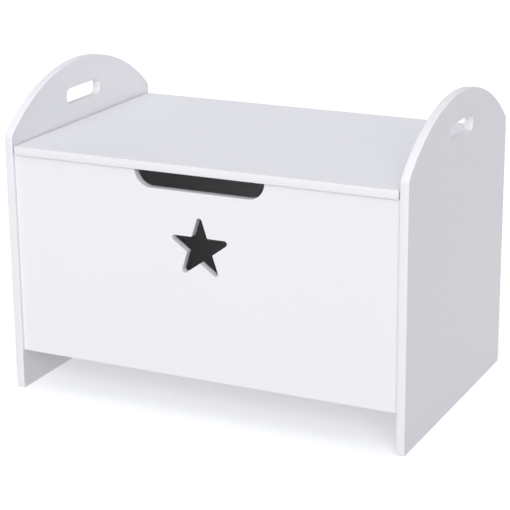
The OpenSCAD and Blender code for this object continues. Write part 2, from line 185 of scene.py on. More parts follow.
def rounded_outline(corners, steps=6):
    """Closed outline through corners (u, v, radius). A corner with a radius becomes an arc that touches
    both its sides: the centre lies on the corner's bisector, radius / sin(half the corner's angle) away,
    and the arc turns through the same angle as the outline does. Radius 0 keeps the point."""
    corners = np.array(corners, float)
    point, radius = corners[:, :2], corners[:, 2]
    behind = unit(np.roll(point, 1, 0) - point)
    ahead = unit(np.roll(point, -1, 0) - point)
    half = np.arccos(np.clip((behind * ahead).sum(1), -1, 1)) / 2
    centre = point + unit(behind + ahead) * (radius / np.sin(half))[:, None]
    start = point + behind * (radius / np.tan(half))[:, None] - centre
    turn = np.arctan2(behind[:, 1] * ahead[:, 0] - behind[:, 0] * ahead[:, 1], -(behind * ahead).sum(1))
    angle = turn[:, None] * np.linspace(0, 1, steps + 1)
    x, y = start[:, :1], start[:, 1:]
    swept = np.stack([np.cos(angle) * x - np.sin(angle) * y, np.sin(angle) * x + np.cos(angle) * y], -1)
    keep = (radius[:, None] > 0) | (np.arange(steps + 1) == 0)
    return (centre[:, None] + swept)[keep]


def arc_points(centre, radius, start, end, steps):
    """Corners of radius 0 along an arc from the start angle to the end angle, in degrees."""
    angle = np.radians(np.linspace(start, end, steps + 1))
    return np.c_[centre[0] + radius * np.cos(angle), centre[1] + radius * np.sin(angle), 0 * angle].tolist()


def rounded_rectangle(low, high, radius, steps=6):
    """Anticlockwise outline between two opposite corners (u, v), all four corners with the same radius."""
    (a, b), (c, d) = low, high
    return rounded_outline([(a, b, radius), (c, b, radius), (c, d, radius), (a, d, radius)], steps)


def inset(outline, distance):
    """Every point moved to the outline's left, along the mitre of its two sides."""
    ahead = unit(np.roll(outline, -1, 0) - outline)
    left = np.c_[-ahead[:, 1], ahead[:, 0]]
    left_before = np.roll(left, 1, 0)
    mitre = (left + left_before) / (1 + (left * left_before).sum(1))[:, None]
    return outline + distance * mitre


def ring_faces(first, rings, count, closed_profile=False):
    """Quads between neighbouring rings of count points each, wrapped round the ring."""
    k = np.arange(rings if closed_profile else rings - 1)[:, None]
    i = np.arange(count)[None, :]
    upper, lower, following = k * count, (k + 1) % rings * count, (i + 1) % count
    quads = np.stack([upper + i, lower + i, lower + following, upper + following], -1)
    return (first + quads.reshape(-1, 4)).tolist()


def filled(points, rims, facing, folds=()):
    """Triangles of the flat area inside the first rim and outside the others, with the fewest slivers.
    A triangle belongs to it if a ray from its middle crosses the rims an odd number of times. Folds are
    v levels at which an edge crosses the area, between each pair of rim points there."""
    index = np.concatenate(rims)
    flat = points[index, :2] / mm
    first = np.cumsum([0] + [len(r) for r in rims])[:-1]
    ahead = np.concatenate([a + (np.arange(len(r)) + 1) % len(r) for a, r in zip(first, rims)])
    edges = np.c_[np.arange(len(index)), ahead]
    for level in folds:
        across = np.flatnonzero(np.abs(points[index, 1] - level) < 1e-8)
        edges = np.r_[edges, across[np.argsort(flat[across, 0])].reshape(-1, 2)]
    cut = delaunay_2d_cdt([Vector(p) for p in flat], edges.tolist(), [], 1, 1e-6)
    tri = np.array([[cut[3][i][0] for i in face] for face in cut[2]])
    middle = flat[tri].mean(1)[:, None]
    a, b = flat[None, :], flat[None, ahead]
    between = (a[..., 1] > middle[..., 1]) != (b[..., 1] > middle[..., 1])
    rise = np.where(between, b[..., 1] - a[..., 1], 1)
    crossing = (b[..., 0] - a[..., 0]) * (middle[..., 1] - a[..., 1]) / rise + a[..., 0]
    tri = tri[(between & (middle[..., 0] < crossing)).sum(1) % 2 == 1]
    a, b, c = (flat[tri[:, n]] for n in range(3))
    area = (b[:, 0] - a[:, 0]) * (c[:, 1] - a[:, 1]) - (b[:, 1] - a[:, 1]) * (c[:, 0] - a[:, 0])
    return index[np.where((area * facing < 0)[:, None], tri[:, ::-1], tri)].tolist()


def sheet_solid(outlines, thickness, ease, pockets=(), countersinks=(), ease_steps=5, folds=()):
    """A flat board or plate in its own u, v, w: the outer outline anticlockwise and each hole clockwise.
    A quarter-round profile is carried round every outline: at angle a from the face, the outline is
    inset by ease * (1 - sin a) and stands ease * (1 - cos a) below the face. Round pockets
    (u, v, radius, depth) are sunk into the face on the +w side, and countersinks
    (u, v, upper radius, lower radius) go through. Folds are the v levels between which the sheet will be
    bent. Comes out as points, faces, flags of the flat faces, and the rim's value at each point."""
    angle = np.linspace(0, np.pi / 2, ease_steps)
    inward = ease * (1 - np.sin(angle))
    height = thickness / 2 - ease * (1 - np.cos(angle))
    edge_rows = list(zip(np.r_[inward, inward[::-1]], np.r_[height, -height[::-1]]))
    points, faces, top, bottom, rim = [], [], [], [], []

    def carry(rings, painted):
        first, count = sum(map(len, points)), len(rings[0])
        points.extend(rings)
        faces.extend(ring_faces(first, len(rings), count))
        rim.append(np.repeat([0] + [painted] * (len(rings) - 2) + [0], count))
        top.append(first + np.arange(count))
        return first + (len(rings) - 1) * count + np.arange(count)

    for outline in outlines:
        rings = [np.c_[inset(outline, d), np.full(len(outline), h)] for d, h in edge_rows]
        bottom.append(carry(rings, 1))
    count, chamfer, lip = 40, 0.2 * mm, 0.02 * mm
    turn = -np.arange(count) * 2 * np.pi / count
    circle, face = np.c_[np.cos(turn), np.sin(turn)], thickness / 2

    def rings_at(u, v, rows):
        return [np.c_[[u, v] + circle * r, np.full(count, h)] for r, h in rows]

    floors = []
    for u, v, radius, depth in pockets:
        rows = ((radius + chamfer, face), (radius, face - chamfer), (radius, face - depth))
        floors.append(carry(rings_at(u, v, rows), 0)[::-1].tolist())
    for u, v, wide, narrow in countersinks:
        rows = ((wide, face), (wide - lip, 0.96 * face), (narrow, -face))
        bottom.append(carry(rings_at(u, v, rows), 0))
    points = np.concatenate(points)
    flat = filled(points, top, 1, folds) + filled(points, bottom, -1, folds) + floors
    return points, faces + flat, np.repeat([0, 1], [len(faces), len(flat)]), np.concatenate(rim)


def placed(solid, axes, origin):
    """The solid with its u, v and w laid along axes, and its own origin at origin."""
    return np.array(origin) + solid[0] @ np.array(axes, float), *solid[1:]


def make_piece(name, solid, material, body, slot, *replaced):
    """Puts the solid into a mesh, hands the piece to its body, and hides the CAD nodes it replaces. The slot
    is not used. Every face is smooth, with a crisp edge where a flat face meets a curved one."""
    points, faces, flat, rim = solid
    mesh = bpy.data.meshes.new(name)
    mesh.from_pydata(points.tolist(), [], faces)
    mesh.polygons.foreach_set("use_smooth", np.ones(len(faces), bool))
    edge_of_corner = np.empty(len(mesh.loops), np.int32)
    mesh.loops.foreach_get("edge_index", edge_of_corner)
    flat_sides = np.bincount(edge_of_corner, np.repeat(flat, [len(f) for f in faces]), len(mesh.edges))
    mesh.attributes.new("sharp_edge", "BOOLEAN", "EDGE").data.foreach_set("value", flat_sides == 1)
    mesh.attributes.new("rim", "FLOAT", "POINT").data.foreach_set("value", rim.astype(np.float32))
    mesh.materials.append(material)
    piece = bpy.data.objects.new(name, mesh)
    bpy.context.scene.collection.objects.link(piece)
    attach(piece, body)
    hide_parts(*replaced)


def white_lacquer(name, shift):
    """Sprayed white lacquer: a faint cloud of tone, orange peel about 2 mm across, and on the rim, where
    the board's fibres drink the paint, a finer and rougher skin."""
    material = bpy.data.materials.new(name)
    coat = Nodes(material)
    coat.place = coat.moved(Location=shift)
    rim = coat.node("Attribute", "Fac", attribute_name="rim")
    cloud = coat.tinted(coat.noise(5, 3), (0.842, 0.834, 0.858, 1), (0.868, 0.860, 0.884, 1))
    specks = coat.graded(coat.noise(900, 1), 0.3, 0.7, 0, 0.25)
    face = coat.tinted(specks, cloud, (0.805, 0.800, 0.822, 1))
    satin = coat.graded(coat.noise(40, 3), 0.3, 0.7, 0.34, 0.42)
    fibrous = coat.graded(coat.noise(300, 3), 0.3, 0.7, 0.46, 0.60)
    peel = coat.mixed(rim, coat.noise(450), coat.noise(1400, 4))
    coat.shade({"Base Color": coat.tinted(rim, face, (0.842, 0.836, 0.855, 1)),
                "Roughness": coat.mixed(rim, satin, fibrous),
                "Normal": coat.relief(peel, strength=0.10, distance=0.0003),
                "IOR": 1.48, "Coat Weight": 0.12, "Coat Roughness": 0.22})
    return material


board_ease = 0.6 * mm
edge_corner = 1.4 * mm
low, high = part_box("right_side_panel")
board_t = high.x - low.x
side_half_d = high.y
side_top = high.z
arch_rise = 76 * mm
arch_r = (side_half_d ** 2 + arch_rise ** 2) / (2 * arch_rise)
arch_mid = side_top - arch_r
arch_corner_r = 9 * mm
corner_turn = 4
arch_start = math.degrees(math.asin((arch_r - arch_rise) / arch_r)) + corner_turn
hand_hole_half_l, hand_hole_half_h, hand_hole_r, hand_hole_mid = 46 * mm, 11.75 * mm, 9 * mm, 399.3 * mm

side_outline = rounded_outline([
    (-side_half_d, 0, edge_corner), (side_half_d, 0, edge_corner),
    (side_half_d, side_top - arch_rise, arch_corner_r),
    *arc_points((0, arch_mid), arch_r, arch_start, 180 - arch_start, 72),
    (-side_half_d, side_top - arch_rise, arch_corner_r)], 8)
hand_hole = rounded_rectangle((-hand_hole_half_l, hand_hole_mid - hand_hole_half_h),
                              (hand_hole_half_l, hand_hole_mid + hand_hole_half_h), hand_hole_r, 10)[::-1]
for side, x_sign in (("left", -1), ("right", 1)):
    node = side + "_side_panel"
    low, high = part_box(node)
    solid = placed(sheet_solid([side_outline, hand_hole], board_t, board_ease),
                   [(0, 1, 0), (0, 0, 1), (1, 0, 0)], ((low.x + high.x) / 2, 0, 0))
    make_piece(side + "_side_board", solid, white_lacquer(side + "_side_lacquer", (x_sign, 0.3, 0)),
               "box", "white_lacquer", node)


# ---- Front panel ----
# A straight board that stands between the side panels, 5 mm back from their edges. The finger slot is
# sawn into its upper edge, and the star is routed through it. Cam locks are sunk into its inner face.

low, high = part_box("front_panel")
wall_half_l, wall_low, wall_high = high.x, low.z, high.z
slot_half_l, slot_r, slot_depth = 97 * mm, 24 * mm, 24.4 * mm
slot_mid = wall_high - slot_depth + slot_r
lip_turn = 2
slot_start = math.degrees(math.asin((wall_high - edge_corner - slot_mid) / slot_r)) - lip_turn
slot_corner_u = slot_half_l - slot_r
front_outline = rounded_outline([
    (-wall_half_l, wall_low, edge_corner), (wall_half_l, wall_low, edge_corner),
    (wall_half_l, wall_high, edge_corner), (slot_half_l, wall_high, edge_corner),
    *arc_points((slot_corner_u, slot_mid), slot_r, slot_start, -90, 16),
    *arc_points((-slot_corner_u, slot_mid), slot_r, -90, -180 - slot_start, 16),
    (-slot_half_l, wall_high, edge_corner), (-wall_half_l, wall_high, edge_corner)], 6)

star_mid, star_outer, star_inner = 245 * mm, 52 * mm, 20 * mm
star_tip_r, star_notch_r = 4 * mm, 1.3 * mm
corner = np.arange(10)
aim = np.radians(90 - 36 * corner)
reach = np.where(corner % 2, star_inner, star_outer)
star_round = np.where(corner % 2, star_notch_r, star_tip_r)
star_outline = rounded_outline(np.c_[reach * np.cos(aim), star_mid + reach * np.sin(aim), star_round], 8)

cam_low, cam_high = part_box("front_cam_locks")
cam_r, cam_t = 6 * mm, cam_high.y - cam_low.y
cam_u, cam_heights = cam_high.x - cam_r, (cam_low.z + cam_r, cam_high.z - cam_r)
pocket_r, pocket_depth = cam_r + 0.05 * mm, cam_t + 0.4 * mm
wall_pockets = [(u, v, pocket_r, pocket_depth) for u in (-cam_u, cam_u) for v in cam_heights]
solid = placed(sheet_solid([front_outline, star_outline], board_t, board_ease, wall_pockets),
               [(-1, 0, 0), (0, 0, 1), (0, 1, 0)], (0, (low.y + high.y) / 2, 0))
make_piece("front_board", solid, white_lacquer("front_lacquer", (0.7, 0, 0.4)),
           "box", "white_lacquer", "front_panel")


# ---- Back panel ----
# The same board as the front, without a slot or a star. The hinges are screwed to its upper edge.

low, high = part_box("back_panel")
back_outline = rounded_rectangle((-wall_half_l, low.z), (wall_half_l, high.z), edge_corner)
solid = placed(sheet_solid([back_outline], board_t, board_ease, wall_pockets),
               [(1, 0, 0), (0, 0, 1), (0, -1, 0)], (0, (low.y + high.y) / 2, 0))
make_piece("back_board", solid, white_lacquer("back_lacquer", (0.2, 0.9, 0)),
           "box", "white_lacquer", "back_panel")


# ---- Bottom panel ----
# A board laid between the four walls, a little above their lower edges, with its cam locks underneath.

low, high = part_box("bottom_panel")
cam_low, cam_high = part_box("bottom_cam_locks")
floor_cam_y = (cam_low.y + cam_r, cam_high.y - cam_r)
floor_pockets = [(u, v, pocket_r, pocket_depth) for u in (-cam_u, cam_u) for v in floor_cam_y]
sawn_ease = 0.5 * mm
bottom_outline = rounded_rectangle(low.xy, high.xy, edge_corner)
solid = placed(sheet_solid([bottom_outline], board_t, sawn_ease, floor_pockets),
               [(1, 0, 0), (0, -1, 0), (0, 0, -1)], (0, 0, (low.z + high.z) / 2))
make_piece("bottom_board", solid, white_lacquer("bottom_lacquer", (0, 0.5, 0.6)),
           "box", "white_lacquer", "bottom_panel")


# ---- Lid ----
# One flat board that drops between the side panels, flush with their front edges. Its edges are rounded
# like the others', and it swings up on the hinges screwed under its back edge.

low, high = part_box("lid")
lid_corner = 1.8 * mm
solid = placed(sheet_solid([rounded_rectangle(low.xy, high.xy, lid_corner, 8)], high.z - low.z, board_ease),
               [(1, 0, 0), (0, 1, 0), (0, 0, 1)], (0, 0, (low.z + high.z) / 2))
make_piece("lid_board", solid, white_lacquer("lid_lacquer", (0.4, 0.1, 0.8)), "lid", "white_lacquer", "lid")


# ---- Hinge leaves ----
# A leaf is stamped from 0.85 mm steel sheet: a plate with two countersunk holes, and tongues along its
# back edge. The tongues are rolled round the pin to make the knuckles, and the leaf is zinc plated.

def bent(solid, start, *bends):
    """The blank bent past v = start. Each bend has the radius of the sheet's middle and an angle in
    degrees, positive towards +w. The heading turns evenly along a bend, v and w are its running sums of
    cosine and sine, and every point keeps its distance from the sheet's middle."""
    u, v, offset = solid[0].T
    to_go = np.maximum(v - start, 0)
    v, w, heading = np.minimum(v, start), 0 * v, 0 * v
    for radius, angle in bends:
        curve = math.copysign(radius, angle)
        run = np.minimum(to_go, radius * abs(math.radians(angle)))
        turned_to = heading + run / curve
        v = v + curve * (np.sin(turned_to) - np.sin(heading))
        w = w - curve * (np.cos(turned_to) - np.cos(heading))
        heading, to_go = turned_to, to_go - run
    v = v + to_go * np.cos(heading) - offset * np.sin(heading)
    w = w + to_go * np.sin(heading) + offset * np.cos(heading)
    return np.c_[u, v, w], *solid[1:]


def plated_steel(name, pale, dark, roughness):
    """Plating over rolled steel: clouds between two tints a few millimetres across, hairline scratches
    from tumbling that run every way, and a gloss that varies with the scratches."""
    material = bpy.data.materials.new(name)
    plating = Nodes(material)
    lines = [plating.noise(1, place=plating.moved(Rotation=turn, Scale=(250, 9000, 9000)))
             for turn in ((0.3, 0.2, 0.5), (1.2, -0.4, 2.1), (0.1, 1.3, -0.8))]
    scratches = plating.node("Math", "Value", enumerate(lines), operation="MULTIPLY_ADD")
    plating.shade({"Base Color": plating.tinted(plating.noise(260, 4), (*dark, 1), (*pale, 1)),
                   "Roughness": plating.graded(scratches, 0.5, 1, roughness - 0.06, roughness + 0.12),
                   "Normal": plating.relief(scratches, strength=0.12, distance=0.00005),
                   "Metallic": 1})
    return material


bright_zinc = plated_steel("bright_zinc", (0.70, 0.71, 0.73), (0.58, 0.61, 0.66), 0.28)
axis = Vector(hinge["pos_m"])
leaf_t, leaf_rise, leaf_ease = 0.85 * mm, 0.575 * mm, 0.12 * mm
leaf_corner_r, notch_corner_r = 1.2 * mm, 0.4 * mm
neck_r = 0.65 * mm
screw_head_r, screw_waist_r = 2.6 * mm, 1.75 * mm
screw_slack = 0.05 * mm
leaf_low, leaf_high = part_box("right_hinge_back_leaf")
screws_low, screws_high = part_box("hinge_back_screws")
leaf_half_l = (leaf_high.x - leaf_low.x) / 2
leaf_middle_x = (leaf_low.x + leaf_high.x) / 2
leaf_screw_u = screws_high.x - screw_head_r - leaf_middle_x
leaf_screw_y = (screws_low.y + screws_high.y) / 2
knuckle_r = (leaf_high.z - leaf_low.z) / 2
roll_r = knuckle_r - leaf_t / 2
neck_turn = math.degrees(math.acos((leaf_rise + neck_r) / (roll_r + neck_r)))
neck_y = axis.y - (roll_r + neck_r) * math.sin(math.radians(neck_turn))
roll_turn = 323
tongue_end_y = neck_y + math.radians(neck_turn) * neck_r + math.radians(roll_turn) * roll_r
knuckles, knuckle_gap = 5, 0.3 * mm
knuckle_l = leaf_half_l * 2 / knuckles
plate_edge_y = axis.y - knuckle_r - knuckle_gap


def hinge_leaf(first):
    """Blank with a tongue at every other one of the five knuckles, from the first on, then rolled."""
    outline = [(-leaf_half_l, leaf_low.y, leaf_corner_r), (leaf_half_l, leaf_low.y, leaf_corner_r)]
    along = np.linspace(plate_edge_y, tongue_end_y, 49)
    for k in reversed(range(first, knuckles, 2)):
        start = -leaf_half_l + k * knuckle_l + (knuckle_gap / 2 if k > 0 else 0)
        end = -leaf_half_l + (k + 1) * knuckle_l - (knuckle_gap / 2 if k < knuckles - 1 else 0)
        outline += [(end, v, 0) for v in along] + [(start, v, 0) for v in along[::-1]]
    if first:
        outline.insert(2, (leaf_half_l, plate_edge_y, notch_corner_r))
        outline.append((-leaf_half_l, plate_edge_y, notch_corner_r))
    holes = [(u, leaf_screw_y, screw_head_r + screw_slack, screw_waist_r + screw_slack)
             for u in (-leaf_screw_u, leaf_screw_u)]
    blank = sheet_solid([rounded_outline(outline)], leaf_t, leaf_ease, countersinks=holes, ease_steps=3,
                        folds=along[1:-1])
    return bent(blank, neck_y, (neck_r, -neck_turn), (roll_r, roll_turn))


for side in ("left", "right"):
    low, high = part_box(side + "_hinge_back_leaf")
    middle_x = (low.x + high.x) / 2
    make_piece(side + "_hinge_plate_on_back",
               placed(hinge_leaf(0), [(1, 0, 0), (0, 1, 0), (0, 0, 1)], (middle_x, 0, axis.z - leaf_rise)),
               bright_zinc, "box", "zinc_steel", side + "_hinge_back_leaf")
    make_piece(side + "_hinge_plate_on_lid",
               placed(hinge_leaf(1), [(-1, 0, 0), (0, 1, 0), (0, 0, -1)], (middle_x, 0, axis.z + leaf_rise)),
               bright_zinc, "lid", "zinc_steel", side + "_hinge_lid_leaf")


# ---- Hinge pins ----
# A steel wire pressed into the back leaf's knuckles, with both its ends peened over into low domes.

def facing(w, turn=0):
    """Axes u, v, w for a piece that faces along w, turned about w by an angle in degrees."""
    w = np.array(w, float)
    u = np.cross((0, 1, 0) if abs(w[2]) > 0.5 else (0, 0, 1), w)
    v = np.cross(w, u)
    c, s = math.cos(math.radians(turn)), math.sin(math.radians(turn))
    return [u * c + v * s, v * c - u * s, w]


def turned(profile, count=32, ring=False, shape=None, recess=None):
    """A piece turned on a lathe: each row of the profile is (radius, height above the origin), from the
    face down, and is swept round w. A ring's profile closes on itself; otherwise a flat face closes each
    end. shape(radius, angle, height) changes the radii, as for a thread, flutes or lobes. A recess is a
    list of (outline, height), from the face down, for a driver."""
    profile = np.array(profile, float)
    angle = np.arange(count) * 2 * np.pi / count
    height = np.broadcast_to(profile[:, 1:], (len(profile), count))
    radius = np.broadcast_to(profile[:, :1], height.shape)
    if shape:
        radius = shape(radius, angle[None, :], height)
    points = [np.stack([radius * np.cos(angle), radius * np.sin(angle), height], -1).reshape(-1, 3)]
    faces = ring_faces(0, len(profile), count, ring)
    flat = []

    def last(end, size):
        return list(range(end - 1, end - size - 1, -1))

    if not ring:
        flat.append(last(len(profile) * count, count))
        rims = [np.arange(count)]
        if recess:
            first = len(points[0])
            rims.append(first + np.arange(len(recess[0][0])))
            points += [np.c_[outline, np.full(len(outline), h)] for outline, h in recess]
            faces += ring_faces(first, len(recess), len(recess[0][0]))
            flat.append(last(first + sum(len(outline) for outline, _ in recess), len(recess[0][0])))
        points = [np.concatenate(points)]
        flat += filled(points[0], rims, 1) if recess else [list(range(count))]
    return points[0], faces + flat, np.repeat([0, 1], [len(faces), len(flat)]), np.zeros(len(points[0]))


def dome(radius, rise, base, steps=7):
    """Profile rows of a low dome of that radius and rise standing on height base: the radius follows the
    cosine and the height the sine of an angle that runs from near the top down to the rim."""
    a = np.linspace(math.radians(84), 0, steps)
    return [(radius * math.cos(t), base + rise * math.sin(t)) for t in a]


pin_r, pin_head_t, pin_chamfer = 1.5 * mm, 0.6 * mm, 0.05 * mm
pin_dome_t, pin_rim_t = 0.75 * pin_head_t, 0.2 * pin_head_t
for side in ("left", "right"):
    low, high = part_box(side + "_hinge_pin")
    half_l, head_r = (high.x - low.x) / 2, (high.z - low.z) / 2
    head = dome(head_r, pin_dome_t, half_l - pin_dome_t) + [
        (head_r, half_l - pin_dome_t - pin_rim_t), (head_r - pin_chamfer, half_l - pin_head_t),
        (pin_r, half_l - pin_head_t)]
    rod = turned(head + [(r, -h) for r, h in head[::-1]])
    make_piece(side + "_hinge_rod", placed(rod, facing((1, 0, 0)), ((low.x + high.x) / 2, axis.y, axis.z)),
               bright_zinc, "box", "zinc_steel", side + "_hinge_pin")


# ---- Wood screws ----
# Countersunk screws of 3 by 9 mm, cold headed with a cross recess, their threads rolled, zinc plated.
# They hold the hinges to the back panel and the lid, and the stays to the lid and the side panels.

def cross_outline(reach, arm_half):
    """A clockwise cross of four arms with rounded ends and rounded inner corners."""
    corners, end_r, inner_r = [], 0.6 * arm_half, 0.5 * arm_half
    for k in range(4):
        c, s = math.cos(-k * math.pi / 2), math.sin(-k * math.pi / 2)
        for u, v, r in ((reach, arm_half, end_r), (reach, -arm_half, end_r), (arm_half, -arm_half, inner_r)):
            corners.append((u * c - v * s, u * s + v * c, r))
    return rounded_outline(corners, 3)


def thread(top, end, pitch, depth):
    """Cuts a right-handed thread between two heights: the groove's depth grows from the crest with the
    distance along the pitch, which advances one pitch for each turn, and runs out at both ends."""
    def cut(radius, angle, height):
        along = (height / pitch - angle / (2 * np.pi)) % 1
        groove = np.clip(np.minimum(along, 1 - along) / 0.3, 0, 1)
        run_out = np.clip((top - height) / pitch, 0, 1) * np.clip((height - end) / pitch + 0.4, 0, 1)
        return radius - np.minimum(depth, 0.4 * radius) * groove * run_out
    return cut


def driver_recess(*rows):
    """Cross recess from rows of the arms' reach, half their width and the height, all in millimetres."""
    return [(cross_outline(reach * mm, arm_half * mm), height * mm) for reach, arm_half, height in rows]


def wood_screw():
    """Screw with its head's face at w = 0 and its point at w = -9 mm."""
    head_r, shank_r, length, tip, neck = screw_head_r, 1.5 * mm, 9 * mm, 2.5 * mm, -1.9 * mm
    bluntness, pitch, groove = 0.14, 1.3 * mm, 0.42 * mm
    crest = [(shank_r if h > tip - length else shank_r * max(bluntness, (h + length) / tip), h)
             for h in np.linspace(neck, -length, 56)]
    profile = [(head_r - 0.06 * mm, 0), (head_r, -0.05 * mm), (shank_r, shank_r - head_r), *crest]
    return turned(profile, 28, shape=thread(neck, -length, pitch, groove),
                  recess=driver_recess((1.55, 0.36, 0), (1.2, 0.33, -0.45), (0.7, 0.29, -0.8)))


def joined(solids):
    """Several solids in one piece, each with its own closed skin."""
    points, faces, flat, rim = zip(*solids)
    first = np.cumsum([0] + [len(p) for p in points])
    shifted = [[corner + a for corner in face] for a, group in zip(first.tolist(), faces) for face in group]
    curved = [face for face, is_flat in zip(shifted, np.concatenate(flat)) if not is_flat]
    level = [face for face, is_flat in zip(shifted, np.concatenate(flat)) if is_flat]
    kind = np.repeat([0, 1], [len(curved), len(level)])
    return np.concatenate(points), curved + level, kind, np.concatenate(rim)


def screws_at(spots, w):
    """One screw for each spot, facing along w. No two recesses come to rest at the same angle."""
    screw, turn = wood_screw(), 37
    return joined([placed(screw, facing(w, turn * k), spot) for k, spot in enumerate(spots)])


def middle_of(node):
    """Middle of a node's box."""
    return (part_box(node)[0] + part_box(node)[1]) / 2


hinge_screw_x = [middle_of(side + "_hinge_pin").x + u
                 for side in ("left", "right") for u in (-leaf_screw_u, leaf_screw_u)]
for panel, face_z, w_z in (("back", screws_high.z, 1), ("lid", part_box("hinge_lid_screws")[0].z, -1)):
    spots = [(x, leaf_screw_y, face_z) for x in hinge_screw_x]
    make_piece(panel + "_hinge_screws", screws_at(spots, (0, 0, w_z)), bright_zinc,
               {"back": "box", "lid": "lid"}[panel], "zinc_steel", "hinge_" + panel + "_screws")


# ---- Stay arms ----
# Each is a slotted arc of 2 mm steel, centred on the hinge, that hangs from the lid and slides past a
# stud on the side panel. It is stamped, tumbled until its edges are round, and nickel plated.

satin_nickel = plated_steel("satin_nickel", (0.64, 0.63, 0.61), (0.55, 0.54, 0.53), 0.36)
rivet, stud = middle_of("stay_rivets"), middle_of("right_stay_nut")
stay_r = math.hypot(rivet.y - axis.y, rivet.z - axis.z)
arm_low, arm_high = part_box("right_stay_arm")
arm_t, arm_half_w = arm_high.x - arm_low.x, 6 * mm
stud_r, rivet_r, rivet_hole_r = 3 * mm, 2 * mm, 2.05 * mm
slot_half_w, slot_spare, tumbled_ease = stud_r + 0.3 * mm, 0.5, 0.35 * mm


def at_arc(angle):
    """Middle of the arm at an angle about the hinge, measured down from straight forward."""
    a = math.radians(180 + angle)
    return np.array((axis.y + stay_r * math.cos(a), axis.z + stay_r * math.sin(a)))


def arc_slot(half_w, start, end):
    """Anticlockwise outline of a band along the arc, with round ends, as corners."""
    outer = arc_points(axis.yz, stay_r + half_w, 180 + start, 180 + end, 60)
    inner = arc_points(axis.yz, stay_r - half_w, 180 + end, 180 + start, 60)
    far = arc_points(at_arc(end), half_w, 180 + end, 360 + end, 14)[1:-1]
    near = arc_points(at_arc(start), half_w, start, 180 + start, 14)[1:-1]
    return rounded_outline(outer + far + inner + near)


def round_hole(centre, radius):
    """Clockwise circle."""
    return rounded_outline(arc_points(centre, radius, 351, 0, 39))


rivet_angle = math.degrees(math.atan2(axis.z - rivet.z, axis.y - rivet.y))
stud_angle = math.degrees(math.atan2(axis.z - stud.z, axis.y - stud.y))
slot_start, slot_end = stud_angle - slot_spare, stud_angle + hinge["range_deg"][1] + slot_spare
arm_blank = sheet_solid([arc_slot(arm_half_w, rivet_angle, slot_end),
                         arc_slot(slot_half_w, slot_start, slot_end)[::-1],
                         round_hole(rivet.yz, rivet_hole_r)], arm_t, tumbled_ease, ease_steps=4)
for side in ("left", "right"):
    arm_x = middle_of(side + "_stay_arm").x
    make_piece(side + "_curved_arm", placed(arm_blank, [(0, 1, 0), (0, 0, 1), (1, 0, 0)], (arm_x, 0, 0)),
               satin_nickel, "lid", "stay_steel", side + "_stay_arm")


# ---- Lid brackets ----
# A strip of the same steel bent to a right angle. Its flat leg is screwed under the lid, and its
# hanging leg, rounded off, carries the rivet of the stay arm.

low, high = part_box("right_stay_lid_bracket")
bracket_t, bracket_half_w = arm_t, (high.y - low.y) / 2
bracket_corner_r, bracket_ease, screw_spacing = 2 * mm, 0.3 * mm, 12 * mm
fold_r = 1.2 * mm + bracket_t / 2
flat_l = high.x - low.x - bracket_t / 2 - fold_r
fold_end = flat_l + fold_r * math.pi / 2
rivet_v = fold_end + high.z - bracket_t / 2 - fold_r - rivet.z
screws_low, screws_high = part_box("stay_lid_screws")
bracket_screw_v = [screws_high.x - screw_head_r - low.x - back for back in (screw_spacing, 0)]
along_fold = np.linspace(flat_l, fold_end, 13)
bracket_outline = rounded_outline([
    (-bracket_half_w, 0, bracket_corner_r), (bracket_half_w, 0, bracket_corner_r),
    *[(bracket_half_w, v, 0) for v in along_fold],
    *arc_points((0, rivet_v), bracket_half_w, 0, 180, 32),
    *[(-bracket_half_w, v, 0) for v in along_fold[::-1]]])
bracket_holes = [(0, v, screw_head_r + screw_slack, screw_head_r - bracket_t / 2) for v in bracket_screw_v]
bracket_blank = sheet_solid([bracket_outline, round_hole((0, rivet_v), rivet_hole_r)], bracket_t,
                            bracket_ease, countersinks=bracket_holes, ease_steps=4, folds=along_fold)
bracket = bent(bracket_blank, flat_l, (fold_r, 90))
for side, x_sign in (("left", -1), ("right", 1)):
    make_piece(side + "_bent_bracket",
               placed(bracket, [(0, x_sign, 0), (x_sign, 0, 0), (0, 0, -1)],
                      (x_sign * low.x, rivet.y, high.z - bracket_t / 2)),
               satin_nickel, "lid", "stay_steel", side + "_stay_lid_bracket")
bracket_spots = [(x_sign * (low.x + v), rivet.y, screws_low.z) for x_sign in (-1, 1) for v in bracket_screw_v]
make_piece("bracket_screws", screws_at(bracket_spots, (0, 0, -1)), bright_zinc, "lid", "zinc_steel",
           "stay_lid_screws")


# ---- Arm rivets ----
# Round-head rivets of 4 mm steel, set cold. They hold each arm to its bracket and let it settle.

low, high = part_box("stay_rivets")
rivet_head_r = (high.z - low.z) / 2
bracket_inner_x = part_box("right_stay_lid_bracket")[1].x - bracket_t
grip = arm_high.x - bracket_inner_x
rivet_head_t = high.x - arm_high.x
rivet_rim_t, rivet_chamfer = 0.15 * rivet_head_t, 0.1 * mm
half_rivet = dome(rivet_head_r, rivet_head_t - rivet_rim_t, grip / 2 + rivet_rim_t, 9) + [
    (rivet_head_r - rivet_chamfer, grip / 2), (rivet_r, grip / 2)]
rivet_solid = turned(half_rivet + [(r, -h) for r, h in half_rivet[::-1]], 36)
rivet_x = bracket_inner_x + grip / 2
make_piece("arm_rivets", joined([placed(rivet_solid, facing((1, 0, 0)), (x, rivet.y, rivet.z))
                                 for x in (-rivet_x, rivet_x)]),
           bright_zinc, "lid", "zinc_steel", "stay_rivets")


# ---- Guide plates ----
# A stamped plate screwed to the side panel's inner face, with a turned stud swaged into it. The arm's
# slot runs on the stud, which is threaded at its inner end for the nut.

